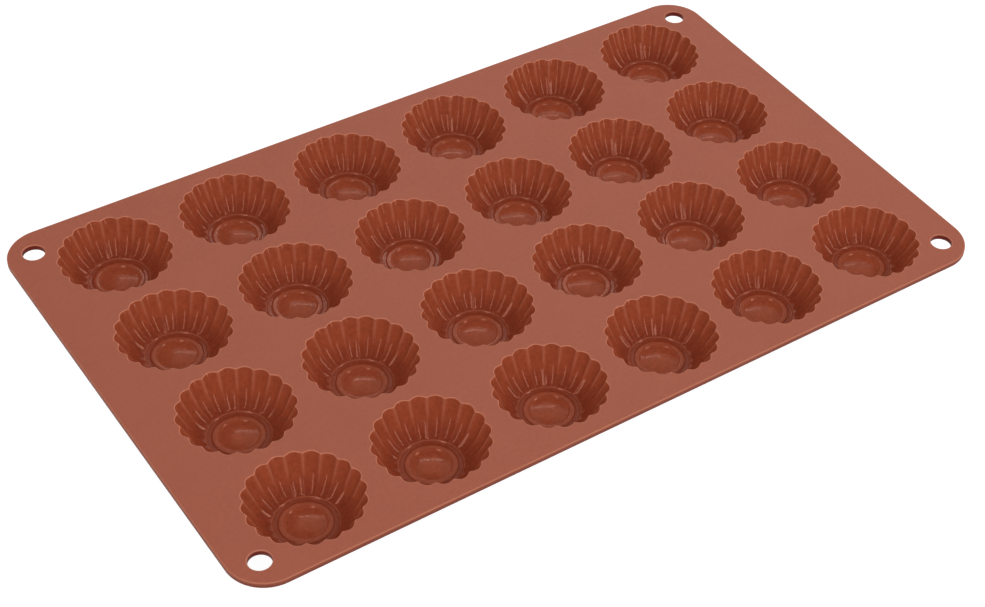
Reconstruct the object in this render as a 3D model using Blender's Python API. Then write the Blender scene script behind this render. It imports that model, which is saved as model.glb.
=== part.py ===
"""Silicone mini muffin mould: a flat sheet that carries four rows of six fluted cups.

Metres, +Z up. The origin is on the table, under the middle of the sheet. The mould stands on the
flat soles of its cups, and the sheet's long side runs along X.
"""

import math

import bmesh
import bpy

# Grid of cups
COLUMNS = 6
ROWS = 4
WEB_BETWEEN_COLUMNS = 0.0076
WEB_BETWEEN_ROWS = 0.0058

# Flutes of a cup's wall: each one bows outward between two ridges that point inward
FLUTES = 20
POINTS_PER_FLUTE = 3
MOUTH_RIDGE_RADIUS = 0.0220
MOUTH_FLUTE_DEPTH = 0.0014
KNEE_RIDGE_RADIUS = 0.0176
KNEE_FLUTE_DEPTH = 0.0011
BOWL_RIDGE_RADIUS = 0.0156
BOWL_FLUTE_DEPTH = 0.0009

# Inside of a cup: even wall down to the knee, rounded bowl down to the foot of the flutes, floor
EVEN_WALL_DEPTH = 0.0100
KNEE_TO_BOWL_DEPTH = 0.0026
BOWL_TO_FOOT_DEPTH = 0.0014
FOOT_RADIUS = 0.0126
FLOOR_RISE_DEPTH = 0.0002
FLOOR_RISE_WIDTH = 0.0024
FLOOR_RING_WIDTH = 0.0018
WELL_DEPTH = 0.0005
WELL_SLOPE_WIDTH = 0.0007

# Material of a cup
WALL_THICKNESS = 0.0014
FLOOR_THICKNESS = 0.0013
SOLE_EDGE_WIDTH = 0.0056
SOLE_EDGE_HEIGHT = 0.0035

# Sheet
SHEET_THICKNESS = 0.0028
SHEET_END_MARGIN = 0.0161
SHEET_SIDE_MARGIN = 0.00695
SHEET_CORNER_RADIUS = 0.0165
SHEET_CORNER_STEPS = 8

# Hanging holes in the corners of the sheet
HANGING_HOLE_DIAMETER = 0.0090
HANGING_HOLE_FROM_END = 0.0118
HANGING_HOLE_FROM_SIDE = 0.0126
HANGING_HOLE_STEPS = 20

# Silicone finish
SILICONE_COLOUR = (0.347, 0.109, 0.071, 1.0)
SILICONE_ROUGHNESS = 0.5
SHARP_OVER_ANGLE = math.radians(42)

# Sizes of the grid and the sheet that follow from the cups
MOUTH_DIAMETER = 2 * (MOUTH_RIDGE_RADIUS + MOUTH_FLUTE_DEPTH)
COLUMN_PITCH = MOUTH_DIAMETER + WEB_BETWEEN_COLUMNS
ROW_PITCH = MOUTH_DIAMETER + WEB_BETWEEN_ROWS
SHEET_LENGTH = (COLUMNS - 1) * COLUMN_PITCH + MOUTH_DIAMETER + 2 * SHEET_END_MARGIN
SHEET_WIDTH = (ROWS - 1) * ROW_PITCH + MOUTH_DIAMETER + 2 * SHEET_SIDE_MARGIN

# Radii on the floor of a cup
FLOOR_RADIUS = FOOT_RADIUS - FLOOR_RISE_WIDTH
WELL_RIM_RADIUS = FLOOR_RADIUS - FLOOR_RING_WIDTH
WELL_RADIUS = WELL_RIM_RADIUS - WELL_SLOPE_WIDTH

# Heights above the table
WELL_HEIGHT = FLOOR_THICKNESS
FLOOR_HEIGHT = WELL_HEIGHT + WELL_DEPTH
FOOT_HEIGHT = FLOOR_HEIGHT + FLOOR_RISE_DEPTH
BOWL_HEIGHT = FOOT_HEIGHT + BOWL_TO_FOOT_DEPTH
KNEE_HEIGHT = BOWL_HEIGHT + KNEE_TO_BOWL_DEPTH
SHEET_TOP = KNEE_HEIGHT + EVEN_WALL_DEPTH
SHEET_UNDERSIDE = SHEET_TOP - SHEET_THICKNESS


def clear_scene():
    """Remove every object that the scene opened with."""
    for obj in list(bpy.data.objects):
        bpy.data.objects.remove(obj, do_unlink=True)


def silicone_material():
    """Terracotta silicone, satin and not metallic."""
    material = bpy.data.materials.new("terracotta_silicone")
    material.use_nodes = True
    shader = material.node_tree.nodes["Principled BSDF"]
    shader.inputs["Base Color"].default_value = SILICONE_COLOUR
    shader.inputs["Roughness"].default_value = SILICONE_ROUGHNESS
    shader.inputs["Metallic"].default_value = 0.0
    material.diffuse_color = SILICONE_COLOUR
    return material


def cup_places():
    """List the name and centre of each cup, row by row from the corner at the lowest X and Y."""
    places = []
    for row in range(ROWS):
        for column in range(COLUMNS):
            x = (column - (COLUMNS - 1) / 2) * COLUMN_PITCH
            y = (row - (ROWS - 1) / 2) * ROW_PITCH
            places.append((f"cup_{row + 1}_{column + 1}", (x, y)))
    return places


def hanging_hole_places():
    """List the centres of the holes in the four corners of the sheet."""
    x = SHEET_LENGTH / 2 - HANGING_HOLE_FROM_END
    y = SHEET_WIDTH / 2 - HANGING_HOLE_FROM_SIDE
    return [(-x, -y), (x, -y), (-x, y), (x, y)]


def wall_section(height):
    """Return the ridge radius and flute depth of the even wall, which narrows toward its knee."""
    share = (SHEET_TOP - height) / EVEN_WALL_DEPTH
    ridge_radius = MOUTH_RIDGE_RADIUS + share * (KNEE_RIDGE_RADIUS - MOUTH_RIDGE_RADIUS)
    flute_depth = MOUTH_FLUTE_DEPTH + share * (KNEE_FLUTE_DEPTH - MOUTH_FLUTE_DEPTH)
    return ridge_radius, flute_depth


def wall_width():
    """Return the level width of the wall, which is wider than its thickness because it leans."""
    lean = math.atan2(MOUTH_RIDGE_RADIUS - KNEE_RIDGE_RADIUS, EVEN_WALL_DEPTH)
    return WALL_THICKNESS / math.cos(lean)


def add_ring(bm, points, height):
    """Add one vertex at each point of a level ring."""
    return [bm.verts.new((x, y, height)) for x, y in points]


def round_points(radius, count, centre=(0.0, 0.0), start_angle=0.0):
    """List points evenly round a circle."""
    points = []
    for step in range(count):
        angle = start_angle + 2 * math.pi * step / count
        points.append((centre[0] + radius * math.cos(angle), centre[1] + radius * math.sin(angle)))
    return points


def ridge_points(radius):
    """List one point in line with each ridge of the flutes."""
    return round_points(radius, FLUTES, start_angle=-math.pi / FLUTES)


def fluted_points(ridge_radius, flute_depth, centre=(0.0, 0.0)):
    """List points round a fluted outline, from one ridge to the next along a half wave."""
    count = FLUTES * POINTS_PER_FLUTE
    points = []
    for step in range(count):
        angle = 2 * math.pi * step / count - math.pi / FLUTES
        bow = math.sin(math.pi * (step % POINTS_PER_FLUTE) / POINTS_PER_FLUTE)
        radius = ridge_radius + flute_depth * bow
        points.append((centre[0] + radius * math.cos(angle), centre[1] + radius * math.sin(angle)))
    return points


def sheet_outline_points():
    """List points round the sheet, counterclockwise from the rounded corner at +X and +Y."""
    points = []
    for quarter in range(4):
        side_x = 1 if quarter in (0, 3) else -1
        side_y = 1 if quarter in (0, 1) else -1
        centre_x = side_x * (SHEET_LENGTH / 2 - SHEET_CORNER_RADIUS)
        centre_y = side_y * (SHEET_WIDTH / 2 - SHEET_CORNER_RADIUS)
        for step in range(SHEET_CORNER_STEPS + 1):
            angle = math.pi / 2 * (quarter + step / SHEET_CORNER_STEPS)
            x = centre_x + SHEET_CORNER_RADIUS * math.cos(angle)
            y = centre_y + SHEET_CORNER_RADIUS * math.sin(angle)
            points.append((x, y))
    return points


def join_rings(bm, upper, lower):
    """Span two rings with as many vertices by a band of four-sided faces."""
    for step, vertex in enumerate(upper):
        after = (step + 1) % len(upper)
        bm.faces.new((vertex, lower[step], lower[after], upper[after]))


def join_flutes_to_ridges(bm, fluted, ridges):
    """Span a fluted ring and a round one by one face for each flute."""
    for flute, vertex in enumerate(ridges):
        start = flute * POINTS_PER_FLUTE
        bow = [fluted[(start + point) % len(fluted)] for point in range(POINTS_PER_FLUTE + 1)]
        bm.faces.new([*bow, ridges[(flute + 1) % len(ridges)], vertex])


def fill_between_rings(bm, rings):
    """Fill the level face inside the first ring and outside all the others."""
    edges = []
    for ring in rings:
        for step, vertex in enumerate(ring):
            edges.append(bm.edges.new((vertex, ring[(step + 1) % len(ring)])))
    bmesh.ops.triangle_fill(bm, use_beauty=True, edges=edges)


def finish_mesh(bm, name, material):
    """Turn the faces outward, shade them smooth except at sharp edges and return the mesh."""
    bmesh.ops.recalc_face_normals(bm, faces=bm.faces)
    mesh = bpy.data.meshes.new(name)
    bm.to_mesh(mesh)
    bm.free()
    mesh.materials.append(material)
    mesh.shade_smooth()
    mesh.set_sharp_from_angle(angle=SHARP_OVER_ANGLE)
    return mesh


def place_object(mesh, name, location=(0.0, 0.0, 0.0)):
    """Add an object with this mesh to the scene."""
    obj = bpy.data.objects.new(name, mesh)
    obj.location = location
    bpy.context.scene.collection.objects.link(obj)


def sheet_rings(bm, height):
    """Add the outline of the sheet, then its mouths and its hanging holes, at one height."""
    rings = [add_ring(bm, sheet_outline_points(), height)]
    for _, centre in cup_places():
        rings.append(add_ring(bm, fluted_points(*wall_section(height), centre), height))
    for centre in hanging_hole_places():
        hole = round_points(HANGING_HOLE_DIAMETER / 2, HANGING_HOLE_STEPS, centre)
        rings.append(add_ring(bm, hole, height))
    return rings


def sheet_mesh(material):
    """Make the flat sheet, whose mouths narrow downward in line with the walls of the cups."""
    bm = bmesh.new()
    top = sheet_rings(bm, SHEET_TOP)
    underside = sheet_rings(bm, SHEET_UNDERSIDE)
    fill_between_rings(bm, top)
    fill_between_rings(bm, underside)
    for upper, lower in zip(top, underside):
        join_rings(bm, upper, lower)
    return finish_mesh(bm, "top_sheet", material)


def cup_inside(bm):
    """Add the inner skin of a cup and return the ring at its top."""
    top = add_ring(bm, fluted_points(*wall_section(SHEET_UNDERSIDE)), SHEET_UNDERSIDE)
    knee = add_ring(bm, fluted_points(KNEE_RIDGE_RADIUS, KNEE_FLUTE_DEPTH), KNEE_HEIGHT)
    bowl = add_ring(bm, fluted_points(BOWL_RIDGE_RADIUS, BOWL_FLUTE_DEPTH), BOWL_HEIGHT)
    foot = add_ring(bm, ridge_points(FOOT_RADIUS), FOOT_HEIGHT)
    floor = add_ring(bm, ridge_points(FLOOR_RADIUS), FLOOR_HEIGHT)
    well_rim = add_ring(bm, ridge_points(WELL_RIM_RADIUS), FLOOR_HEIGHT)
    well = add_ring(bm, ridge_points(WELL_RADIUS), WELL_HEIGHT)
    join_rings(bm, top, knee)
    join_rings(bm, knee, bowl)
    join_flutes_to_ridges(bm, bowl, foot)
    join_rings(bm, foot, floor)
    join_rings(bm, floor, well_rim)
    join_rings(bm, well_rim, well)
    bm.faces.new(well)
    return top


def cup_outside(bm):
    """Add the outer skin of a cup, down to its flat sole, and return the ring at its top."""
    top_radius, top_depth = wall_section(SHEET_UNDERSIDE)
    edge_radius, edge_depth = wall_section(SOLE_EDGE_HEIGHT)
    sole_radius = edge_radius + wall_width() - SOLE_EDGE_WIDTH
    top = add_ring(bm, fluted_points(top_radius + wall_width(), top_depth), SHEET_UNDERSIDE)
    edge = add_ring(bm, fluted_points(edge_radius + wall_width(), edge_depth), SOLE_EDGE_HEIGHT)
    sole = add_ring(bm, ridge_points(sole_radius), 0.0)
    join_rings(bm, top, edge)
    join_flutes_to_ridges(bm, edge, sole)
    bm.faces.new(sole)
    return top


def cup_mesh(material):
    """Make one cup, whose top lies face to face against the underside of the sheet."""
    bm = bmesh.new()
    join_rings(bm, cup_inside(bm), cup_outside(bm))
    return finish_mesh(bm, "fluted_cup", material)


def build_mould():
    """Build the sheet and its cups."""
    clear_scene()
    silicone = silicone_material()
    place_object(sheet_mesh(silicone), "top_sheet")
    cup = cup_mesh(silicone)
    for name, (x, y) in cup_places():
        place_object(cup, name, (x, y, 0.0))


build_mould()
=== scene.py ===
"""Looks of a silicone mini muffin mould: a sheet with four rows of six fluted cups.

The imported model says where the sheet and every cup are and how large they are. Each of them is
replaced here by a finer mesh of the same piece, with soft lips, waved walls, stepped floors and a
satin silicone finish. Metres, +Z up.
"""

import logging
import math
from collections.abc import Callable
from dataclasses import dataclass, field
from enum import Enum

import bmesh
import bpy
from mathutils import Matrix, Vector


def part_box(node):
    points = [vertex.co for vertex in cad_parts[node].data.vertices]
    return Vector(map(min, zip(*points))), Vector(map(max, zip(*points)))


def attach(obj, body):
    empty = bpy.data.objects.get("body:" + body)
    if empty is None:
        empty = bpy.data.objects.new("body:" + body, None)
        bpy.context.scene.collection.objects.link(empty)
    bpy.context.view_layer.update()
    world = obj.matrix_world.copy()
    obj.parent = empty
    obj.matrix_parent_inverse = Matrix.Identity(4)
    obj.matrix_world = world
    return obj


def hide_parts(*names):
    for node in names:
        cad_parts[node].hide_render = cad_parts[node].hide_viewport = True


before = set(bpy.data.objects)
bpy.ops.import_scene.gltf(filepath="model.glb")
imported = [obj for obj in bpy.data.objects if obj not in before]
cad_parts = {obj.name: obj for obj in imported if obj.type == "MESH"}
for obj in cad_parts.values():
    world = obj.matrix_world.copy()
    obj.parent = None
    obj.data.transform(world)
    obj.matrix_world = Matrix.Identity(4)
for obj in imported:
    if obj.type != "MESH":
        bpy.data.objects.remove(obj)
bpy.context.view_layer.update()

log = logging.getLogger("muffin_mould")

MERGE_DISTANCE = 1e-7
SHARP_OVER_ANGLE = math.radians(42)
BODY = "root"
SHEET_NODE = "top_sheet"
# Painted highlight: a paler colour on the lips, edges, ridges and foot rings, where light would
# catch them.
PAINTED_HIGHLIGHT_ATTRIBUTE = "painted_highlight"
CAVITY_ATTRIBUTE = "cavity_gloss"
# Painted shade: a darker colour in the cups' grooves and low bowls, in the hanging holes and at the
# sheet's lower edge.
PAINTED_SHADE_ATTRIBUTE = "groove_shade"
BOW_LAYER = "bow_depth"
NOISE_MEAN = 0.5

# Places of a mix node's colour sockets: its share, its two colours and its result.
MIX_SHARE, MIX_FIRST, MIX_SECOND, MIX_RESULT = 0, 6, 7, 2

# Rings of edges, by the height at which they lie.
Rings = dict[float, list[bmesh.types.BMEdge]]
# Red, green and blue of linear light.
Colour = tuple[float, float, float]


class Skin(Enum):
    """The two skins of a cup."""

    INNER = "inner"
    OUTER = "outer"


@dataclass(frozen=True)
class Corner:
    """One corner of a turned profile, with the length that its rounding takes from each edge."""

    radius: float
    height: float
    rounding: float = 0.0
    arc_steps: int = 4


@dataclass(frozen=True)
class Flutes:
    """Bows of a cup's wall, which meet in soft ridges that point at the cup's axis."""

    count: int = 20
    points_each: int = 12
    ridge_softness: float = 0.125
    crowding: float = 0.68

    @property
    def points(self) -> int:
        """Count the mesh points round a cup."""
        return self.count * self.points_each

    def bow(self, angle: float) -> float:
        """Say how far the wall bows out at an angle round the cup.

        Args:
            angle: Angle from the middle of a bow, in radians.

        Returns:
            Share of the bow's depth, from 0 on a ridge to 1 in the middle of a bow.
        """
        wave = math.cos(self.count * angle / 2)
        soft = self.ridge_softness
        return (math.hypot(wave, soft) - soft) / (math.hypot(1.0, soft) - soft)

    def crowded(self, angle: float) -> float:
        """Move an evenly spaced angle nearer to the ridge beside it, where the wall turns fast.

        Args:
            angle: Angle from the middle of a bow, in radians.

        Returns:
            The angle at which the mesh point goes.
        """
        return angle + self.crowding * math.sin(self.count * angle) / self.count


@dataclass(frozen=True)
class CupWall:
    """Wall of a cup: an even slope from the mouth, which turns through a bowl into the floor."""

    top_height: float
    flutes: Flutes = field(default_factory=Flutes)
    mouth_ridge_radius: float = 0.0220
    knee_ridge_radius: float = 0.0176
    knee_depth: float = 0.0100
    foot_radius: float = 0.0126
    foot_height: float = 0.0020
    foot_rise: float = math.radians(29.6)
    bowl_radius: float = 0.0140
    mouth_bow: float = 0.0014
    knee_bow: float = 0.0011
    fade_height: float = 0.0003
    level_width: float = 0.00153
    outer_bowl_radius: float = 0.0074
    outer_fade_height: float = 0.0035
    # Painted highlight along the ridges, which fades out low on the wall.
    ridge_painted_highlight: float = 0.36
    ridge_line_width: float = 0.42
    ridge_line_end: float = 0.0055

    @property
    def lean(self) -> float:
        """Give the angle between the even slope and the upright, in radians."""
        return math.atan2(self.mouth_ridge_radius - self.knee_ridge_radius, self.knee_depth)

    @property
    def bowl_corner(self) -> tuple[float, float]:
        """Find the corner that the slope and the foot's rise would make without the bowl.

        Returns:
            Its distance from the cup's axis and its height.
        """
        slope = math.tan(self.lean)
        rise = math.tan(self.foot_rise)
        at_table = self.ridge_radius(0.0)
        height = (self.foot_height + rise * (at_table - self.foot_radius)) / (1 - rise * slope)
        return self.ridge_radius(height), height

    @property
    def bowl_reach(self) -> float:
        """Give the length that the bowl's arc takes from the slope."""
        return self.bowl_radius * math.tan((math.pi / 2 - self.lean - self.foot_rise) / 2)

    @property
    def outer_reach(self) -> float:
        """Give the length that the outer arc takes from the outer slope."""
        return self.outer_bowl_radius * math.tan((math.pi / 2 - self.lean) / 2)

    def ridge_radius(self, height: float) -> float:
        """Give the distance from the cup's axis to the ridges of the even slope at a height."""
        return self.mouth_ridge_radius - math.tan(self.lean) * (self.top_height - height)

    def bow_depth(self, height: float, skin: Skin) -> float:
        """Give the depth of the bows, which fade out on the way down to the floor.

        Args:
            height: Height above the table.
            skin: Side of the wall.

        Returns:
            Level depth of a bow behind its ridges.
        """
        down = (self.top_height - height) / self.knee_depth
        even = self.mouth_bow + down * (self.knee_bow - self.mouth_bow)
        if skin is Skin.OUTER:
            return even * smoothstep(height / self.outer_fade_height)
        return even * smoothstep((height - self.foot_height) / self.fade_height)

    def ridge_line(self, turned: float, height: float) -> float:
        """Say how much painted highlight lies along the ridges at a place of the inner wall.

        Args:
            turned: Angle round the cup.
            height: Height above the table.

        Returns:
            Share from 0 to 1, greatest on a ridge near the mouth.
        """
        near = max(0.0, 1 - self.flutes.bow(turned) / self.ridge_line_width)
        up = smoothstep((height - self.ridge_line_end) / self.ridge_line_end)
        return self.ridge_painted_highlight * near * up

    def inner_point(self, angle: float, height: float, gap: float) -> Vector:
        """Place a mesh point on the even slope, or outside it by a level gap.

        Args:
            angle: Evenly spaced angle round the cup.
            height: Height above the table.
            gap: Level distance from the wall into the material.

        Returns:
            The point, measured from the cup's axis.
        """
        turned = self.flutes.crowded(angle)
        depth = self.bow_depth(height, Skin.INNER) * self.flutes.bow(turned)
        radius = self.ridge_radius(height) + depth + gap
        return Vector((radius * math.cos(turned), radius * math.sin(turned), height))


@dataclass(frozen=True)
class SoftEdge:
    """Rounding between a flat face and a wall that leans away from the upright."""

    radius: float
    lean: float = 0.0
    steps: int = 6

    @property
    def turn(self) -> float:
        """Give the angle through which the rounding turns."""
        return math.pi / 2 - self.lean

    @property
    def reach(self) -> float:
        """Give the length that the rounding takes from the flat face."""
        return self.radius * math.tan(self.turn / 2)

    def levels(self) -> list[tuple[float, float]]:
        """List the rounding's points from the flat face to the wall.

        Returns:
            For each point its level gap to the wall and its depth below the flat face.
        """
        points = []
        for step in range(self.steps + 1):
            angle = self.turn * step / self.steps
            depth = self.radius * (1 - math.cos(angle))
            gap = self.reach - self.radius * math.sin(angle) + math.tan(self.lean) * depth
            points.append((gap, depth))
        return points

    def share(self, depth: float) -> float:
        """Say how far round the rounding a depth below the flat face is, from 0 to 1."""
        return math.acos(max(0.0, 1 - depth / self.radius)) / self.turn

    # Painted highlight on a rounding.
    def painted_highlight_amount(self, depth: float) -> float:
        """Say how much painted highlight lies at a depth, most in the rounding's middle."""
        return math.sin(math.pi * min(1.0, max(0.0, self.share(depth))))


def vertices_in(geometry: list[object]) -> list[bmesh.types.BMVert]:
    """Pick the vertices out of what an operator returned."""
    return [part for part in geometry if isinstance(part, bmesh.types.BMVert)]


def edges_among(vertices: list[bmesh.types.BMVert]) -> list[bmesh.types.BMEdge]:
    """List the edges whose two ends are both among some vertices.

    Args:
        vertices: The vertices.

    Returns:
        The edges.
    """
    chosen = set(vertices)
    found = {edge for vertex in vertices for edge in vertex.link_edges}
    return [edge for edge in found if chosen.issuperset(edge.verts)]


def smoothstep(share: float) -> float:
    """Ease a share from 0 to 1, flat at both ends."""
    clamped = min(1.0, max(0.0, share))
    return clamped * clamped * (3 - 2 * clamped)


def finished_piece(
    bm: bmesh.types.BMesh, name: str, material: bpy.types.Material,
) -> bpy.types.Object:
    """Turn a bmesh into a smooth piece of the mould, at the origin.

    Args:
        bm: The bmesh, which is freed.
        name: Name of the piece.
        material: Finish of the piece.

    Returns:
        The new object, which rides on the mould's only body.
    """
    bmesh.ops.recalc_face_normals(bm, faces=bm.faces)
    mesh = bpy.data.meshes.new(name)
    bm.to_mesh(mesh)
    bm.free()
    mesh.materials.append(material)
    mesh.shade_smooth()
    mesh.set_sharp_from_angle(angle=SHARP_OVER_ANGLE)
    piece = bpy.data.objects.new(name, mesh)
    bpy.context.scene.collection.objects.link(piece)
    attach(piece, BODY)
    return piece


@dataclass
class TopSheet:
    """Flat sheet with rounded corners, which carries the cups in its mouths."""

    wall: CupWall
    mouth_centres: list[tuple[float, float]]
    corner_radius: float = 0.0165
    corner_steps: int = 20
    rim_round: float = 0.0006
    rim_steps: int = 5
    lip_round: float = 0.00055
    flat_margin: float = 0.0003
    hole_radius: float = 0.0045
    hole_round: float = 0.0006
    hole_from_end: float = 0.0118
    hole_from_side: float = 0.0126
    hole_points: int = 64
    # Painted shade in the hanging holes and towards the rim's lower edge, and a painted highlight on
    # the rim's upper rounding.
    hole_shade: float = 0.88
    rim_shade: float = 0.85
    rim_painted_highlight: float = 0.8
    low: Vector = field(init=False)
    high: Vector = field(init=False)

    def __post_init__(self) -> None:
        """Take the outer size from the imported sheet."""
        self.low, self.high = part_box(SHEET_NODE)

    def hole_centres(self) -> list[tuple[float, float]]:
        """List the centres of the hanging holes in the sheet's corners.

        Returns:
            The centres, as x and y.
        """
        across = self.high.x - self.hole_from_end
        along = self.high.y - self.hole_from_side
        return [(x, y) for x in (-across, across) for y in (-along, along)]

    def add_slab(self, bm: bmesh.types.BMesh, lip: bmesh.types.BMLayerItem) -> Rings:
        """Add the sheet's rim and leave its two flat faces open.

        Args:
            bm: The bmesh that the sheet grows in.
            lip: Float layer of the painted highlight.

        Returns:
            The edges round each open face, by its height.
        """
        size = self.high - self.low
        place = Matrix.Translation((0, 0, self.high.z)) @ Matrix.Diagonal((size.x, size.y, 1, 1))
        bmesh.ops.create_grid(bm, x_segments=1, y_segments=1, size=0.5, matrix=place)
        bmesh.ops.bevel(
            bm, geom=bm.verts[:], offset=self.corner_radius, offset_type="OFFSET",
            segments=self.corner_steps, profile=0.5, affect="VERTICES", material=-1,
        )
        grown = bmesh.ops.extrude_face_region(bm, geom=bm.faces[:])["geom"]
        bmesh.ops.translate(bm, verts=vertices_in(grown), vec=(0, 0, -size.z))
        bm.normal_update()
        rims = [edge for edge in bm.edges if edge.verts[0].co.z == edge.verts[1].co.z]
        bmesh.ops.bevel(
            bm, geom=rims, offset=self.rim_round, offset_type="OFFSET",
            segments=self.rim_steps, profile=0.5, affect="EDGES", material=-1,
        )
        rim = SoftEdge(self.rim_round)
        shade = bm.verts.layers.float[PAINTED_SHADE_ATTRIBUTE]
        # Painted highlight on the upper rounding and painted shade towards the lower edge.
        for vertex in bm.verts:
            depth = self.high.z - vertex.co.z
            vertex[lip] = self.rim_painted_highlight * rim.painted_highlight_amount(depth) if depth < self.rim_round else 0.0
            vertex[shade] = self.rim_shade * smoothstep(2 * depth / size.z - 1)
        flats = [face for face in bm.faces if len(face.verts) > 4]
        bmesh.ops.inset_individual(bm, faces=flats, thickness=self.flat_margin)
        rings = {}
        for flat in [face for face in bm.faces if len(face.verts) > 4]:
            upper = flat.calc_center_median().z > self.high.z - size.z / 2
            rings[self.high.z if upper else self.low.z] = list(flat.edges)
            bmesh.ops.delete(bm, geom=[flat], context="FACES_ONLY")
        return rings

    def lower_ring(
        self, bm: bmesh.types.BMesh, ring: list[bmesh.types.BMEdge],
        place: Callable[[Vector], Vector],
    ) -> list[bmesh.types.BMEdge]:
        """Extrude a ring of edges and put its new vertices where they belong.

        Args:
            bm: The bmesh that holds the ring.
            ring: The edges of the ring.
            place: Function from a vertex's old position to its new one.

        Returns:
            The edges of the new ring.
        """
        fresh = vertices_in(bmesh.ops.extrude_edge_only(bm, edges=ring)["geom"])
        for vertex in fresh:
            vertex.co = place(vertex.co)
        return edges_among(fresh)

    def add_mouth(
        self, bm: bmesh.types.BMesh, centre: tuple[float, float],
        lip: bmesh.types.BMLayerItem, cavity: bmesh.types.BMLayerItem,
    ) -> Rings:
        """Add the lip and the upper wall of one cup.

        Args:
            bm: The bmesh that the sheet grows in.
            centre: Centre of the mouth.
            lip: Float layer of the painted highlight.
            cavity: Float layer that is 1 inside the cup.

        Returns:
            The first and the last ring of edges, by their height.
        """
        axis = Vector((*centre, 0.0))
        rounding = SoftEdge(self.lip_round, self.wall.lean)
        levels = [(rounding.reach + self.flat_margin, 0.0), *rounding.levels()]
        levels.append((0.0, self.high.z - self.low.z))
        points = self.wall.flutes.points
        circle = bmesh.ops.create_circle(bm, segments=points, radius=1.0)["verts"]
        angles = {vertex: math.atan2(vertex.co.y, vertex.co.x) for vertex in circle}
        for vertex, angle in angles.items():
            vertex.co = axis + self.wall.inner_point(angle, self.high.z, levels[0][0])
        first = ring = edges_among(circle)
        for level, (gap, depth) in enumerate(levels[1:], start=1):
            fresh = vertices_in(bmesh.ops.extrude_edge_only(bm, edges=ring)["geom"])
            angles = self.carried_angles(angles, fresh)
            rounded = level <= rounding.steps + 1
            for vertex, angle in angles.items():
                vertex.co = axis + self.wall.inner_point(angle, self.high.z - depth, gap)
                # Painted highlight on the lip's rounding and along the ridges.
                ridge = self.wall.ridge_line(self.wall.flutes.crowded(angle), self.high.z - depth)
                vertex[lip] = max(ridge, rounding.painted_highlight_amount(depth)) if rounded else ridge
                vertex[cavity] = smoothstep(rounding.share(depth)) if rounded else 1.0
            ring = edges_among(fresh)
        return {self.high.z: first, self.low.z: ring}

    def carried_angles(
        self, angles: dict[bmesh.types.BMVert, float], fresh: list[bmesh.types.BMVert],
    ) -> dict[bmesh.types.BMVert, float]:
        """Give each extruded vertex the angle of the vertex that it came from.

        Args:
            angles: Angle of each vertex of the old ring.
            fresh: Vertices of the new ring.

        Returns:
            Angle of each vertex of the new ring.
        """
        carried = {}
        for vertex in fresh:
            beside = (edge.other_vert(vertex) for edge in vertex.link_edges)
            carried[vertex] = next(angles[other] for other in beside if other in angles)
        return carried

    def add_hanging_hole(
        self, bm: bmesh.types.BMesh, centre: tuple[float, float], lip: bmesh.types.BMLayerItem,
    ) -> Rings:
        """Add the wall of one hanging hole, with both of its edges rounded.

        Args:
            bm: The bmesh that the sheet grows in.
            centre: Centre of the hole.
            lip: Float layer of the painted highlight.

        Returns:
            The first and the last ring of edges, by their height.
        """
        shade = bm.verts.layers.float[PAINTED_SHADE_ATTRIBUTE]
        edge = SoftEdge(self.hole_round)
        rounding = edge.levels()
        thickness = self.high.z - self.low.z
        margin = self.hole_round + self.flat_margin
        levels = [(margin, 0.0), *rounding]
        levels += [(gap, thickness - depth) for gap, depth in reversed(rounding)]
        levels.append((margin, thickness))
        axis = Vector((*centre, 0.0))
        circle = bmesh.ops.create_circle(
            bm, segments=self.hole_points, radius=self.hole_radius + margin,
            matrix=Matrix.Translation((*centre, self.high.z)),
        )["verts"]
        first = ring = edges_among(circle)
        for gap, depth in levels[1:]:
            ring = self.lower_ring(bm, ring, lambda old: self.hole_point(old, axis, gap, depth))
            # Painted shade down the hole's wall and a painted highlight on its upper rounding.
            dark = self.hole_shade * smoothstep(edge.share(min(depth, self.hole_round)))
            for vertex in {vertex for made in ring for vertex in made.verts}:
                vertex[lip] = edge.painted_highlight_amount(depth) if depth <= self.hole_round else 0.0
                vertex[shade] = dark
        return {self.high.z: first, self.low.z: ring}

    def hole_point(self, old: Vector, axis: Vector, gap: float, depth: float) -> Vector:
        """Place a vertex of a hanging hole at a gap outside its wall and a depth below the top."""
        outward = Vector((old.x - axis.x, old.y - axis.y, 0.0)).normalized()
        return axis + outward * (self.hole_radius + gap) + Vector((0, 0, self.high.z - depth))

    def build(self, material: bpy.types.Material) -> bpy.types.Object:
        """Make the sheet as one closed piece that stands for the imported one.

        Args:
            material: Finish of the sheet.

        Returns:
            The sheet.
        """
        bm = bmesh.new()
        for name in (PAINTED_HIGHLIGHT_ATTRIBUTE, CAVITY_ATTRIBUTE, PAINTED_SHADE_ATTRIBUTE):
            bm.verts.layers.float.new(name)
        lip = bm.verts.layers.float[PAINTED_HIGHLIGHT_ATTRIBUTE]
        cavity = bm.verts.layers.float[CAVITY_ATTRIBUTE]
        openings = [self.add_slab(bm, lip)]
        openings += [self.add_mouth(bm, centre, lip, cavity) for centre in self.mouth_centres]
        openings += [self.add_hanging_hole(bm, centre, lip) for centre in self.hole_centres()]
        for height in (self.high.z, self.low.z):
            edges = [edge for rings in openings for edge in rings[height]]
            bmesh.ops.triangle_fill(bm, use_beauty=True, edges=edges)
        piece = finished_piece(bm, "silicone_sheet", material)
        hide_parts(SHEET_NODE)
        return piece


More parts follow.
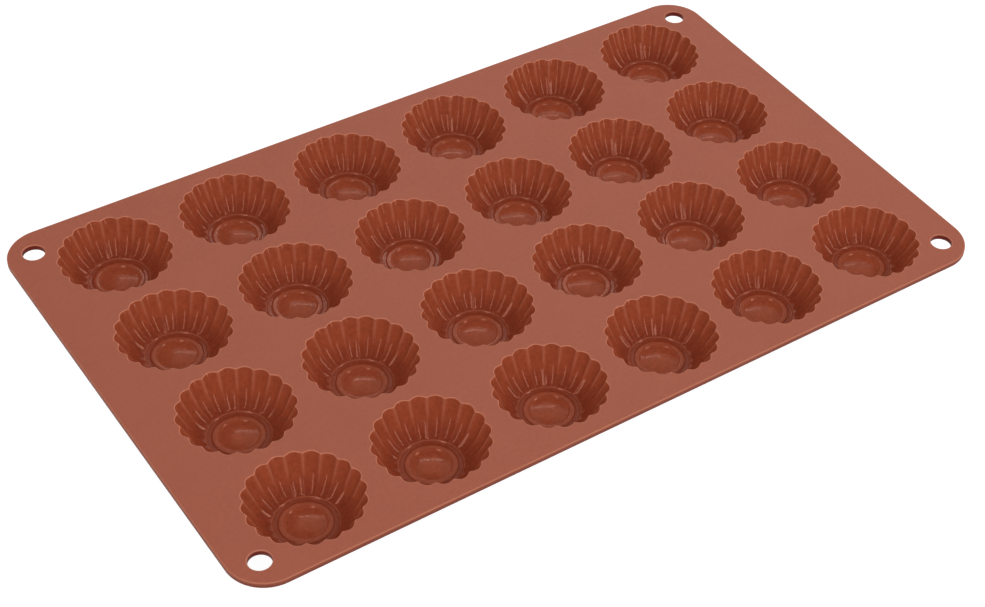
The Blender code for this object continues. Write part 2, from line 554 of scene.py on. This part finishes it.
@dataclass
class FlutedCup:
    """Cup with a waved wall, a stepped floor and a flat sole."""

    wall: CupWall
    seam_height: float
    well_radius: float = 0.0077
    well_height: float = 0.0013
    well_rim_radius: float = 0.0084
    ring_radius: float = 0.0101
    ring_height: float = 0.0018
    groove_start: float = 0.0105
    groove_end: float = 0.0122
    groove_height: float = 0.0016
    edge_round: float = 0.00015
    foot_round: float = 0.0002
    groove_round: float = 0.00025
    crown: float = 0.0009
    flare: float = 0.0009
    flare_steps: int = 5
    bowl_steps: int = 14
    longest_edge: float = 0.0016
    # Painted highlight on the foot ring, and painted shade in the groove and low in the bowl.
    ring_painted_highlight: float = 0.3
    groove_shade: float = 0.34
    bowl_shade: float = 0.36
    bowl_shade_end: float = 0.0095

    def inner_corners(self) -> list[Corner]:
        """List the corners of the inner skin's section.

        Returns:
            The corners, from the well's middle up to the sheet.
        """
        wall = self.wall
        return [
            Corner(0.0, self.well_height),
            Corner(self.well_radius, self.well_height, self.edge_round),
            Corner(self.well_rim_radius, self.ring_height, self.edge_round),
            Corner(self.ring_radius, self.ring_height, self.edge_round),
            Corner(self.groove_start, self.groove_height, self.groove_round),
            Corner(self.groove_end, self.groove_height, self.groove_round),
            Corner(wall.foot_radius, wall.foot_height, self.foot_round),
            Corner(*wall.bowl_corner, wall.bowl_reach, self.bowl_steps),
            Corner(wall.ridge_radius(self.seam_height), self.seam_height),
        ]

    def outer_corners(self) -> list[Corner]:
        """List the corners of the outer skin's section.

        Returns:
            The corners, from the sheet down to the sole's middle.
        """
        wall = self.wall
        top = wall.ridge_radius(self.seam_height) + wall.level_width
        low = wall.ridge_radius(0.0) + wall.level_width
        return [
            Corner(top + self.flare, self.seam_height),
            Corner(top, self.seam_height, self.flare, self.flare_steps),
            Corner(low, 0.0, wall.outer_reach, self.bowl_steps),
            Corner(0.0, 0.0),
        ]

    def draw_chain(self, bm: bmesh.types.BMesh, skin: Skin) -> None:
        """Draw one skin's half section as a chain of edges, with its corners rounded.

        Args:
            bm: The bmesh of the section.
            skin: Skin to draw.
        """
        marked = bm.verts.layers.float[CAVITY_ATTRIBUTE]
        corners = self.inner_corners() if skin is Skin.INNER else self.outer_corners()
        points = [bm.verts.new((corner.radius, 0.0, corner.height)) for corner in corners]
        for pair in zip(points, points[1:]):
            bm.edges.new(pair)
        for point, corner in zip(points, corners):
            if corner.rounding > 0:
                bmesh.ops.bevel(
                    bm, geom=[point], offset=corner.rounding, offset_type="OFFSET",
                    segments=corner.arc_steps, profile=0.5, affect="VERTICES", material=-1,
                )
        for edge in edges_among([vertex for vertex in bm.verts if vertex[marked] == 0.0]):
            cuts = math.ceil(edge.calc_length() / self.longest_edge) - 1
            if cuts > 0:
                bmesh.ops.subdivide_edges(bm, edges=[edge], cuts=cuts)
        self.mark_chain(bm, [vertex for vertex in bm.verts if vertex[marked] == 0.0], skin)

    def mark_chain(
        self, bm: bmesh.types.BMesh, chain: list[bmesh.types.BMVert], skin: Skin,
    ) -> None:
        """Write the bows, the gloss, the painted shade and the foot ring's painted highlight of one
        skin on its points, and crown the well.

        Args:
            bm: The bmesh of the section.
            chain: The skin's points.
            skin: The skin.
        """
        layers = bm.verts.layers.float
        for vertex in chain:
            radius, _, height = vertex.co
            vertex[layers[BOW_LAYER]] = self.wall.bow_depth(height, skin)
            if skin is Skin.INNER:
                vertex[layers[CAVITY_ATTRIBUTE]] = 1.0
                # Painted shade in the groove and bowl, and a painted highlight on the foot ring.
                vertex[layers[PAINTED_SHADE_ATTRIBUTE]] = self.shade(radius, height)
                on_foot = abs(radius - self.wall.foot_radius) < self.edge_round
                vertex[layers[PAINTED_HIGHLIGHT_ATTRIBUTE]] = self.ring_painted_highlight if on_foot else 0.0
                if radius < self.well_radius:
                    vertex.co.z += self.crown * (1 - (radius / self.well_radius) ** 2)

    def shade(self, radius: float, height: float) -> float:
        """Say how much painted shade darkens the inner skin in the groove and low in the bowl.

        Args:
            radius: Distance from the cup's axis.
            height: Height above the table.

        Returns:
            Share of the painted shade colour.
        """
        if radius < self.ring_radius:
            return 0.0
        if height < self.wall.foot_height:
            return self.groove_shade
        span = self.bowl_shade_end - self.wall.foot_height
        return self.bowl_shade * smoothstep((self.bowl_shade_end - height) / span)

    def turned(self) -> bmesh.types.BMesh:
        """Turn the section into a cup round the origin's axis and wave its wall.

        Returns:
            A closed bmesh.
        """
        bm = bmesh.new()
        for name in (PAINTED_HIGHLIGHT_ATTRIBUTE, CAVITY_ATTRIBUTE, PAINTED_SHADE_ATTRIBUTE, BOW_LAYER):
            bm.verts.layers.float.new(name)
        for skin in Skin:
            self.draw_chain(bm, skin)
        ends = [vertex for vertex in bm.verts if len(vertex.link_edges) == 1]
        bm.edges.new([vertex for vertex in ends if vertex.co.x > self.well_radius])
        bmesh.ops.spin(
            bm, geom=bm.verts[:] + bm.edges[:], cent=(0, 0, 0), axis=(0, 0, 1), dvec=(0, 0, 0),
            angle=2 * math.pi, steps=self.wall.flutes.points, use_merge=True, use_duplicate=False,
        )
        bmesh.ops.remove_doubles(bm, verts=bm.verts, dist=MERGE_DISTANCE)
        bow = bm.verts.layers.float[BOW_LAYER]
        lip = bm.verts.layers.float[PAINTED_HIGHLIGHT_ATTRIBUTE]
        cavity = bm.verts.layers.float[CAVITY_ATTRIBUTE]
        for vertex in bm.verts:
            across, along, height = vertex.co
            angle = self.wall.flutes.crowded(math.atan2(along, across))
            # Painted highlight along the ridges inside the cup.
            vertex[lip] = max(vertex[lip], vertex[cavity] * self.wall.ridge_line(angle, height))
            radius = math.hypot(across, along) + vertex[bow] * self.wall.flutes.bow(angle)
            vertex.co.x = radius * math.cos(angle)
            vertex.co.y = radius * math.sin(angle)
        bm.verts.layers.float.remove(bow)
        return bm

    def build_all(
        self, nodes: dict[str, Vector], material: bpy.types.Material,
    ) -> list[bpy.types.Object]:
        """Make one cup for each packed cup.

        Args:
            nodes: Centre of each packed cup, by its name.
            material: Finish of the cups.

        Returns:
            The cups.
        """
        pattern = self.turned()
        cups = []
        for node, centre in nodes.items():
            bm = pattern.copy()
            bmesh.ops.translate(bm, verts=bm.verts, vec=centre)
            piece = finished_piece(bm, f"silicone_{node}", material)
            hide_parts(node)
            cups.append(piece)
        pattern.free()
        return cups


class NodeBench:
    """Short ways to add and link the nodes of one tree."""

    def __init__(self, tree: bpy.types.NodeTree) -> None:
        """Work on a tree."""
        self.tree = tree

    def add(
        self, kind: str, inputs: dict[str | int, object], **settings: object,
    ) -> bpy.types.Node:
        """Add a node, with its inputs linked or set.

        Args:
            kind: Type of the node.
            inputs: Socket to link from, or value, by the input's name or index.
            settings: Values of the node's own settings.

        Returns:
            The node.
        """
        node = self.tree.nodes.new(kind)
        for name, value in settings.items():
            setattr(node, name, value)
        for key, value in inputs.items():
            if isinstance(value, bpy.types.NodeSocket):
                self.tree.links.new(value, node.inputs[key])
            else:
                node.inputs[key].default_value = value
        return node

    def math(
        self, operation: str, first: object, second: object = 0.0, clamp: bool = False,
    ) -> bpy.types.NodeSocket:
        """Add one step of arithmetic.

        Args:
            operation: What to do with the two values.
            first: Socket or number.
            second: Socket or number.
            clamp: Whether the result stays between 0 and 1.

        Returns:
            The result's socket.
        """
        inputs = {0: first, 1: second}
        node = self.add("ShaderNodeMath", inputs, operation=operation, use_clamp=clamp)
        return node.outputs[0]

    def ramp(
        self, value: object, at_start: float, at_end: float, start: float = 0.0, end: float = 1.0,
    ) -> bpy.types.NodeSocket:
        """Map a value smoothly from one range to another.

        Args:
            value: Socket or number.
            at_start: Result at the start of the value's range.
            at_end: Result at its end.
            start: Start of the value's range.
            end: End of the value's range.

        Returns:
            The result's socket.
        """
        inputs = {
            "Value": value, "From Min": start, "From Max": end,
            "To Min": at_start, "To Max": at_end,
        }
        return self.add("ShaderNodeMapRange", inputs, interpolation_type="SMOOTHSTEP").outputs[0]

    def noise(self, place: object, scale: float, detail: float = 2.0) -> bpy.types.NodeSocket:
        """Add a cloudy pattern from 0 to 1, with so many clouds to the metre."""
        inputs = {"Vector": place, "Scale": scale, "Detail": detail}
        return self.add("ShaderNodeTexNoise", inputs).outputs[0]

    def blend(
        self, share: object, first: object, second: object, how: str = "MIX",
    ) -> bpy.types.NodeSocket:
        """Blend two colours.

        Args:
            share: Share of the second colour.
            first: Colour or socket.
            second: Colour or socket.
            how: Blend type of the node.

        Returns:
            The blended colour's socket.
        """
        inputs = {MIX_SHARE: share, MIX_FIRST: first, MIX_SECOND: second}
        node = self.add("ShaderNodeMix", inputs, data_type="RGBA", blend_type=how)
        return node.outputs[MIX_RESULT]

    def attribute(self, name: str) -> bpy.types.NodeSocket:
        """Read a float attribute of the mesh."""
        return self.add("ShaderNodeAttribute", {}, attribute_name=name).outputs["Fac"]


def new_group(
    name: str, inputs: dict[str, float | None], outputs: tuple[str, ...],
) -> bpy.types.NodeTree:
    """Make an empty shader node group.

    Args:
        name: Name of the group.
        inputs: Start value of each number that goes in, or None for a place.
        outputs: Names of the numbers that come out.

    Returns:
        The group, with its input and output nodes.
    """
    group = bpy.data.node_groups.new(name, "ShaderNodeTree")
    for socket, value in inputs.items():
        kind = "NodeSocketVector" if value is None else "NodeSocketFloat"
        made = group.interface.new_socket(socket, in_out="INPUT", socket_type=kind)
        if value is not None:
            made.default_value = value
    for socket in outputs:
        group.interface.new_socket(socket, in_out="OUTPUT", socket_type="NodeSocketFloat")
    group.nodes.new("NodeGroupInput")
    group.nodes.new("NodeGroupOutput")
    return group


@dataclass(frozen=True)
class CloudEffect:
    """Uneven tone of moulded silicone: wide clouds and a fine mottle."""

    wide_scale: float = 55.0
    wide_detail: float = 3.0
    fine_scale: float = 620.0

    def group(self) -> bpy.types.NodeTree:
        """Build the group, which puts out a tone around 1.

        Returns:
            The group. It takes the strengths of the wide and the fine clouds.
        """
        group = new_group("silicone_clouds", {"Place": None, "Wide": 0.05, "Fine": 0.05}, ("Tone",))
        bench = NodeBench(group)
        given = group.nodes["Group Input"].outputs
        wide = bench.noise(given["Place"], self.wide_scale, self.wide_detail)
        fine = bench.noise(given["Place"], self.fine_scale)
        wide = bench.math("MULTIPLY", bench.math("SUBTRACT", wide, NOISE_MEAN), given["Wide"])
        fine = bench.math("MULTIPLY", bench.math("SUBTRACT", fine, NOISE_MEAN), given["Fine"])
        tone = bench.math("ADD", bench.math("ADD", wide, fine), 1.0)
        group.links.new(tone, group.nodes["Group Output"].inputs["Tone"])
        return group


@dataclass(frozen=True)
class SpeckEffect:
    """Scattered round specks, such as dust and lint."""

    softness: float = 0.35
    least_size: float = 0.4

    def group(self) -> bpy.types.NodeTree:
        """Build the group, which puts out a mask that is 1 on a speck.

        Returns:
            The group. Its size is a share of the specks' spacing, and its share says how many of
            the places hold one.
        """
        inputs = {"Place": None, "Scale": 250.0, "Share": 0.2, "Size": 0.05}
        group = new_group("silicone_specks", inputs, ("Mask",))
        bench = NodeBench(group)
        given = group.nodes["Group Input"].outputs
        spacing = {"Vector": given["Place"], "Scale": given["Scale"]}
        cells = bench.add("ShaderNodeTexVoronoi", spacing).outputs
        lot = bench.add("ShaderNodeSeparateColor", {"Color": cells["Color"]}).outputs
        size = bench.math("ADD", lot["Green"], self.least_size)
        size = bench.math("MULTIPLY", given["Size"], size)
        core = bench.math("SUBTRACT", 1.0, bench.math("DIVIDE", cells["Distance"], size))
        core = bench.math("DIVIDE", core, self.softness, clamp=True)
        chosen = bench.math("LESS_THAN", lot["Red"], given["Share"])
        mask = bench.math("MULTIPLY", core, chosen)
        group.links.new(mask, group.nodes["Group Output"].inputs["Mask"])
        return group


@dataclass(frozen=True)
class GrainEffect:
    """Relief of moulded silicone: a fine grain on soft waves."""

    grain_scale: float = 1300.0
    wave_scale: float = 230.0

    def group(self) -> bpy.types.NodeTree:
        """Build the group, which puts out a height in metres.

        Returns:
            The group. It takes the heights of the grain and of the waves.
        """
        inputs = {"Place": None, "Grain": 4e-6, "Waves": 1e-5}
        group = new_group("silicone_grain", inputs, ("Height",))
        bench = NodeBench(group)
        given = group.nodes["Group Input"].outputs
        grain = bench.noise(given["Place"], self.grain_scale)
        waves = bench.noise(given["Place"], self.wave_scale)
        grain = bench.math("MULTIPLY", grain, given["Grain"])
        waves = bench.math("MULTIPLY", waves, given["Waves"])
        height = bench.math("ADD", grain, waves)
        group.links.new(height, group.nodes["Group Output"].inputs["Height"])
        return group


@dataclass(frozen=True)
class Specks:
    """One kind of speck on the sheet."""

    colour: Colour
    scale: float
    share: float
    size: float
    strength: float


@dataclass(frozen=True)
class SiliconeFinish:
    """Terracotta silicone: satin and a little pale on the sheet, deep and glossy in the cups."""

    cup_colour: Colour = (0.315, 0.064, 0.027)
    sheet_colour: Colour = (0.336, 0.092, 0.054)
    # Colour of the painted highlight.
    painted_highlight_colour: Colour = (0.62, 0.23, 0.14)
    # Colour of the painted shade.
    painted_shade_colour: Colour = (0.12, 0.003, 0.001)
    gloss_tint: Colour = (1.0, 0.50, 0.36)
    dust: Specks = Specks((0.10, 0.035, 0.025), 210.0, 0.16, 0.045, 0.55)
    lint: Specks = Specks((0.60, 0.42, 0.36), 34.0, 0.18, 0.010, 0.7)
    # Strength of the painted highlight.
    painted_highlight_amount: float = 0.7
    wide_clouds: float = 0.10
    sheet_mottle: float = 0.22
    cup_mottle: float = 0.55
    sheet_roughness: float = 0.58
    cup_roughness: float = 0.13
    uneven_scale: float = 150.0
    uneven_detail: float = 3.0
    uneven_roughness: float = 0.03
    uneven_from: float = 0.3
    uneven_to: float = 0.7
    grain_height: float = 4e-6
    sheet_wave_height: float = 5e-6
    cup_wave_height: float = 1.5e-5
    ior: float = 1.42

    def colour(
        self, bench: NodeBench, place: bpy.types.NodeSocket, cavity: bpy.types.NodeSocket,
    ) -> bpy.types.NodeSocket:
        """Lay down the colour, its clouds, the painted shade, the specks and the painted highlight.

        Args:
            bench: Bench of the material's tree.
            place: Object coordinates.
            cavity: Mask of the cups' insides.

        Returns:
            The colour's socket.
        """
        base = bench.blend(cavity, (*self.sheet_colour, 1.0), (*self.cup_colour, 1.0))
        mottle = bench.ramp(cavity, self.sheet_mottle, self.cup_mottle)
        clouds = {"Place": place, "Wide": self.wide_clouds, "Fine": mottle}
        tone = bench.add("ShaderNodeGroup", clouds, node_tree=CloudEffect().group())
        toned = bench.blend(1.0, base, tone.outputs["Tone"], "MULTIPLY")
        # Painted shade: the shaded places blend towards a dark red.
        toned = bench.blend(bench.attribute(PAINTED_SHADE_ATTRIBUTE), toned, (*self.painted_shade_colour, 1.0))
        effect = SpeckEffect().group()
        on_sheet = bench.math("SUBTRACT", 1.0, cavity)
        for kind in (self.dust, self.lint):
            dots = {"Place": place, "Scale": kind.scale, "Share": kind.share, "Size": kind.size}
            mask = bench.add("ShaderNodeGroup", dots, node_tree=effect).outputs["Mask"]
            mask = bench.math("MULTIPLY", bench.math("MULTIPLY", mask, on_sheet), kind.strength)
            toned = bench.blend(mask, toned, (*kind.colour, 1.0))
        # Painted highlight: lips, edges, ridges and foot rings blend towards a pale salmon.
        line = bench.math("MULTIPLY", bench.attribute(PAINTED_HIGHLIGHT_ATTRIBUTE), self.painted_highlight_amount)
        return bench.blend(line, toned, (*self.painted_highlight_colour, 1.0))

    def roughness(
        self, bench: NodeBench, place: bpy.types.NodeSocket, cavity: bpy.types.NodeSocket,
    ) -> bpy.types.NodeSocket:
        """Make the sheet satin and the cups glossy, both a little unevenly.

        Args:
            bench: Bench of the material's tree.
            place: Object coordinates.
            cavity: Mask of the cups' insides.

        Returns:
            The roughness's socket.
        """
        even = bench.ramp(cavity, self.sheet_roughness, self.cup_roughness)
        patches = bench.noise(place, self.uneven_scale, self.uneven_detail)
        swing = self.uneven_roughness
        uneven = bench.ramp(patches, -swing, swing, self.uneven_from, self.uneven_to)
        return bench.math("ADD", even, uneven)

    def relief(
        self, bench: NodeBench, place: bpy.types.NodeSocket, cavity: bpy.types.NodeSocket,
    ) -> bpy.types.NodeSocket:
        """Raise the grain and the soft waves of the moulded face.

        Args:
            bench: Bench of the material's tree.
            place: Object coordinates.
            cavity: Mask of the cups' insides.

        Returns:
            The normal's socket.
        """
        waves = bench.ramp(cavity, self.sheet_wave_height, self.cup_wave_height)
        heights = {"Place": place, "Grain": self.grain_height, "Waves": waves}
        grain = bench.add("ShaderNodeGroup", heights, node_tree=GrainEffect().group())
        inputs = {"Height": grain.outputs["Height"], "Distance": 1.0, "Strength": 1.0}
        return bench.add("ShaderNodeBump", inputs).outputs["Normal"]

    def material(self) -> bpy.types.Material:
        """Build the material.

        Returns:
            The material.
        """
        material = bpy.data.materials.new("terracotta_silicone")
        material.use_nodes = True
        shader = material.node_tree.nodes["Principled BSDF"]
        bench = NodeBench(material.node_tree)
        place = bench.add("ShaderNodeTexCoord", {}).outputs["Object"]
        cavity = bench.attribute(CAVITY_ATTRIBUTE)
        links = material.node_tree.links
        links.new(self.colour(bench, place, cavity), shader.inputs["Base Color"])
        links.new(self.roughness(bench, place, cavity), shader.inputs["Roughness"])
        links.new(self.relief(bench, place, cavity), shader.inputs["Normal"])
        shader.inputs["IOR"].default_value = self.ior
        shader.inputs["Specular Tint"].default_value = (*self.gloss_tint, 1.0)
        return material


@dataclass(frozen=True)
class SoftBox:
    """Rectangular lamp that faces the mould."""

    name: str
    azimuth: float
    elevation: float
    distance: float
    width: float
    height: float
    radiance: float
    roll: float = 0.0
    in_gloss: bool = True
    in_diffuse: bool = True

    def light(self, target: Vector) -> None:
        """Hang the lamp and turn it towards a target.

        Args:
            target: Point that the lamp faces.
        """
        lamp = bpy.data.lights.new(self.name, "AREA")
        lamp.shape = "RECTANGLE"
        lamp.size = self.width
        lamp.size_y = self.height
        lamp.energy = self.radiance * math.pi * self.width * self.height
        obj = bpy.data.objects.new(self.name, lamp)
        turn = Matrix.Rotation(math.radians(self.azimuth), 4, "Z")
        tilt = Matrix.Rotation(math.radians(90 - self.elevation), 4, "X")
        roll = Matrix.Rotation(math.radians(self.roll), 4, "Z")
        away = Matrix.Translation((0, 0, self.distance))
        obj.matrix_world = Matrix.Translation(target) @ turn @ tilt @ away @ roll
        obj.visible_camera = False
        obj.visible_glossy = self.in_gloss
        obj.visible_diffuse = self.in_diffuse
        bpy.context.scene.collection.objects.link(obj)


@dataclass(frozen=True)
class PhotoCamera:
    """Camera at the photograph's viewing angle."""

    location: tuple[float, float, float] = (-0.3505, -0.5235, 0.5710)
    sensor_width: float = 36.0
    azimuth: float = -39.39
    elevation: float = 43.99
    roll: float = 5.15
    lens: float = 72.85
    shift_x: float = -0.1463
    shift_y: float = 0.0430

    def set_up(self) -> None:
        """Place the camera and make it the scene's."""
        data = bpy.data.cameras.new("photo_camera")
        data.sensor_width = self.sensor_width
        data.lens = self.lens
        data.shift_x = self.shift_x
        data.shift_y = self.shift_y
        camera = bpy.data.objects.new("photo_camera", data)
        turn = Matrix.Rotation(math.radians(self.azimuth), 4, "Z")
        tilt = Matrix.Rotation(math.radians(90 - self.elevation), 4, "X")
        roll = Matrix.Rotation(math.radians(self.roll), 4, "Z")
        camera.matrix_world = Matrix.Translation(self.location) @ turn @ tilt @ roll
        bpy.context.scene.collection.objects.link(camera)
        bpy.context.scene.camera = camera


@dataclass
class Studio:
    """White floor, soft lamps and the camera."""

    floor_size: float = 12.0
    floor_gap: float = 5e-5
    floor_colour: float = 0.2
    floor_roughness: float = 0.9
    floor_glow: float = 0.93
    world_level: float = 0.04
    camera: PhotoCamera = field(default_factory=PhotoCamera)

    def soft_boxes(self) -> list[SoftBox]:
        """List the lamps, by where they stand round the mould.

        Returns:
            The cards, the strips that show only in the gloss, and the fills that give only soft
            light.
        """
        view = self.camera.azimuth
        return [
            SoftBox("back_card", view + 180, 19, 2.6, 2.2, 1.9, 0.85),
            SoftBox("upper_card", view + 180, 54, 2.2, 1.6, 1.0, 0.65),
            SoftBox("stripe_card", view + 190, 41.5, 2.2, 0.85, 0.06, 5.0, in_diffuse=False),
            SoftBox("right_strip", view + 78, 33, 1.6, 0.28, 2.0, 6.0, roll=-24.5, in_diffuse=False),
            SoftBox("left_strip", view - 33, 46, 1.6, 0.28, 2.3, 4.8, roll=13.4, in_diffuse=False),
            SoftBox("overhead_fill", view, 90, 1.6, 2.4, 2.4, 0.45, in_gloss=False),
            SoftBox("right_fill", view + 85, 32, 1.3, 1.9, 0.95, 1.7, in_gloss=False),
            SoftBox("left_fill", view - 75, 32, 1.8, 2.6, 1.3, 0.72, in_gloss=False),
            SoftBox("front_fill", view, 32, 1.8, 2.0, 1.3, 2.2, in_gloss=False),
            SoftBox("back_fill", view + 180, 32, 1.2, 1.4, 0.9, 1.4, in_gloss=False),
        ]

    def floor_material(self) -> bpy.types.Material:
        """Build the floor's white, which keeps the mould's shadow.

        Returns:
            The material.
        """
        material = bpy.data.materials.new("studio_floor")
        material.use_nodes = True
        shader = material.node_tree.nodes["Principled BSDF"]
        shader.inputs["Base Color"].default_value = (*(self.floor_colour,) * 3, 1.0)
        shader.inputs["Roughness"].default_value = self.floor_roughness
        shader.inputs["Specular IOR Level"].default_value = 0.0
        shader.inputs["Emission Color"].default_value = (1.0, 1.0, 1.0, 1.0)
        bench = NodeBench(material.node_tree)
        rays = bench.add("ShaderNodeLightPath", {}).outputs
        mirrored = bench.math("ADD", rays["Is Glossy Ray"], rays["Is Transmission Ray"])
        seen = bench.math("ADD", rays["Is Camera Ray"], mirrored, clamp=True)
        glow = bench.math("MULTIPLY", seen, self.floor_glow)
        material.node_tree.links.new(glow, shader.inputs["Emission Strength"])
        return material

    def build(self, target: Vector) -> None:
        """Set up the floor, the lamps, the world and the camera.

        Args:
            target: Point that the lamps face.
        """
        bm = bmesh.new()
        place = Matrix.Translation((0, 0, -self.floor_gap))
        half = self.floor_size / 2
        bmesh.ops.create_grid(bm, x_segments=1, y_segments=1, size=half, matrix=place)
        mesh = bpy.data.meshes.new("studio_floor")
        bm.to_mesh(mesh)
        bm.free()
        mesh.materials.append(self.floor_material())
        floor = bpy.data.objects.new("studio_floor", mesh)
        bpy.context.scene.collection.objects.link(floor)
        for box in self.soft_boxes():
            box.light(target)
        world = bpy.data.worlds.new("studio_world")
        world.use_nodes = True
        sky = world.node_tree.nodes["Background"].inputs
        sky["Strength"].default_value = self.world_level
        sky["Color"].default_value = (1.0, 1.0, 1.0, 1.0)
        bpy.context.scene.world = world
        bpy.context.scene.view_settings.view_transform = "Standard"
        self.camera.set_up()


def cup_centres() -> dict[str, Vector]:
    """Find the centre of each packed cup.

    Returns:
        The centre on the table, by the name of the cup's node.
    """
    centres = {}
    for node in sorted(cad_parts):
        if node != SHEET_NODE:
            low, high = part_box(node)
            centres[node] = Vector(((low.x + high.x) / 2, (low.y + high.y) / 2, 0.0))
    return centres


def main() -> None:
    """Build the mould's pieces and the studio round them."""
    logging.basicConfig(level=logging.INFO, format="%(message)s")
    low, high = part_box(SHEET_NODE)
    centres = cup_centres()
    wall = CupWall(top_height=high.z)
    silicone = SiliconeFinish().material()
    sheet = TopSheet(wall, [(centre.x, centre.y) for centre in centres.values()]).build(silicone)
    log.info("%s: %d faces", sheet.name, len(sheet.data.polygons))
    for cup in FlutedCup(wall, seam_height=low.z).build_all(centres, silicone):
        log.info("%s: %d faces", cup.name, len(cup.data.polygons))
    Studio().build(Vector((0.0, 0.0, high.z)))


if __name__ == "__main__":
    main()
